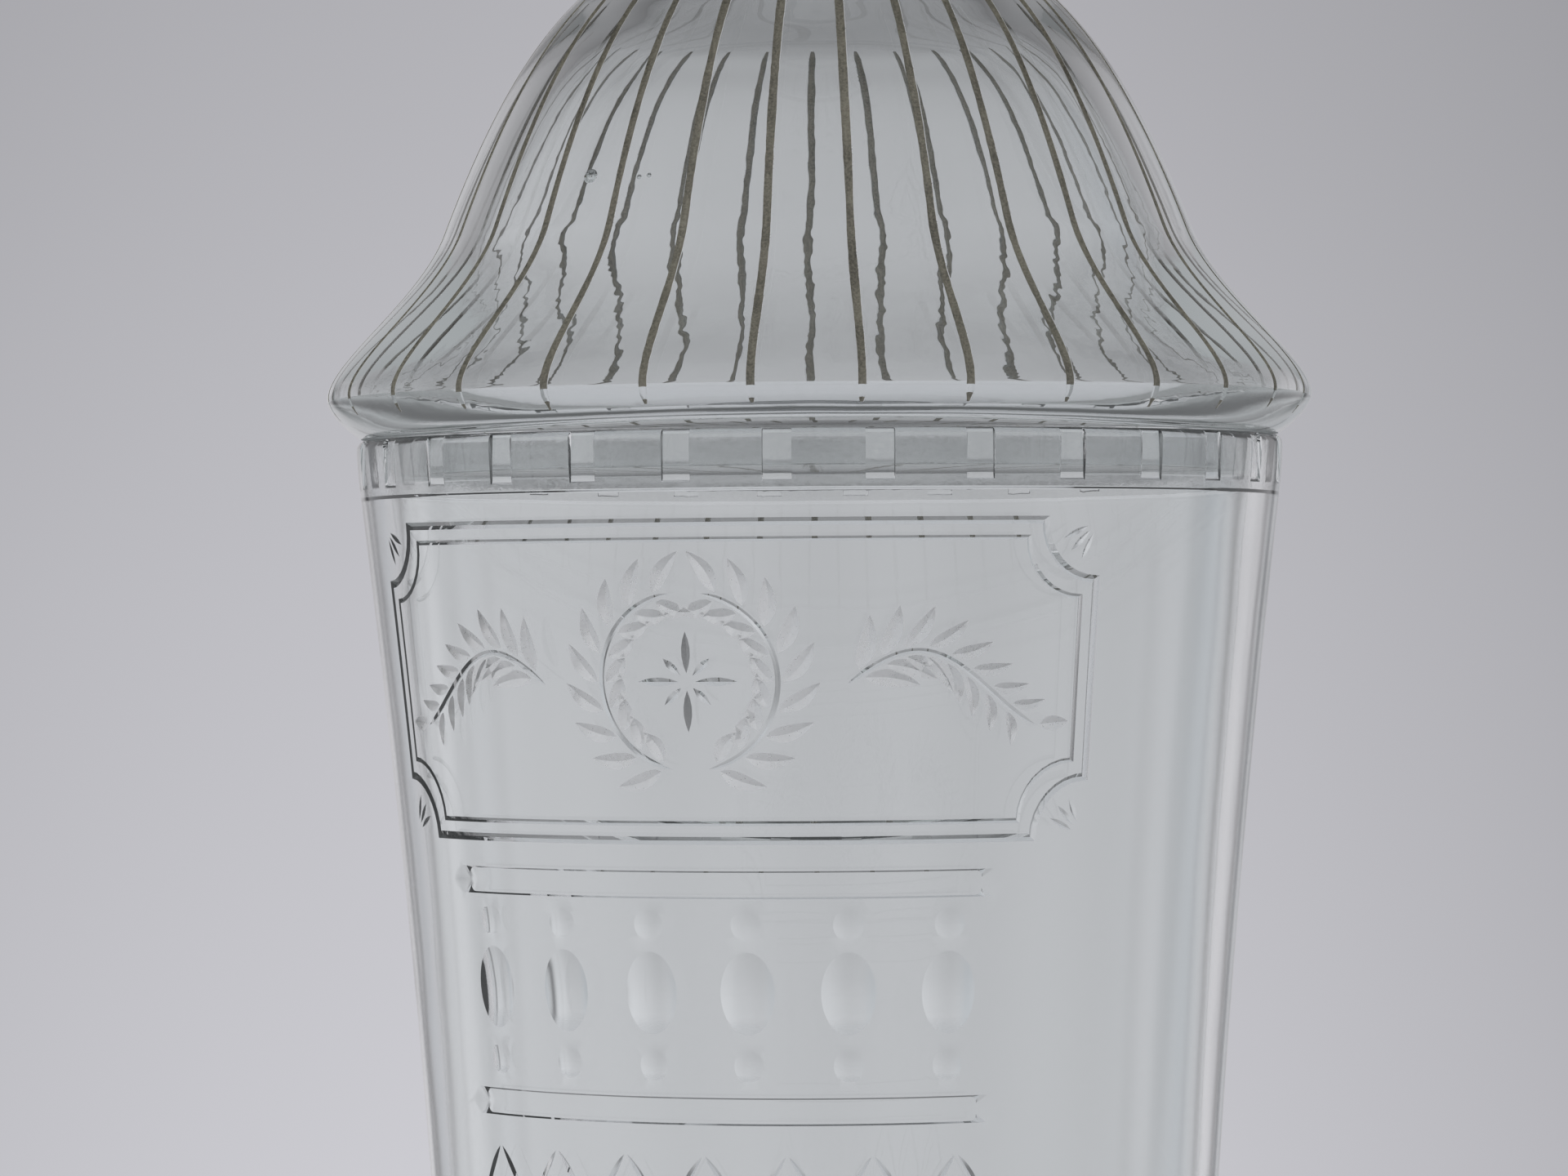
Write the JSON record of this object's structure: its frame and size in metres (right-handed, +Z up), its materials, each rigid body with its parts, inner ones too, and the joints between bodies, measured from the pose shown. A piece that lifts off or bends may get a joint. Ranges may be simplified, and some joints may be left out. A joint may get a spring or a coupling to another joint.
{
  "type": "covered vase",
  "caption": "Clear cut-glass covered vase: flared body with a notched rim, lift-off fluted bell cover with an inner flange and a ball knop.",
  "frame": {"origin": "centre of the base, on the surface that the vase stands on", "axes": "+Z up along the axis of the vase; the engraved front faces -Y"},
  "size_m": [0.1584, 0.1584, 0.3388],
  "materials": {
    "body_glass": "clear polished glass with matt engraving and polished cuts",
    "cover_glass": "clear polished glass, flutes left matt from the wheel",
    "knop_glass": "clear fire-polished glass"
  },
  "bodies": {
    "vase": {"vase_body": "body_glass"},
    "cover": {"cover_dome": "cover_glass", "knop_collar": "knop_glass", "knop_ball": "knop_glass"}
  },
  "joints": [
    {"name": "cover_lift", "type": "slide", "parent": "vase", "child": "cover", "axis": [0, 0, 1], "range_m": [0, 0.12]}
  ]
}
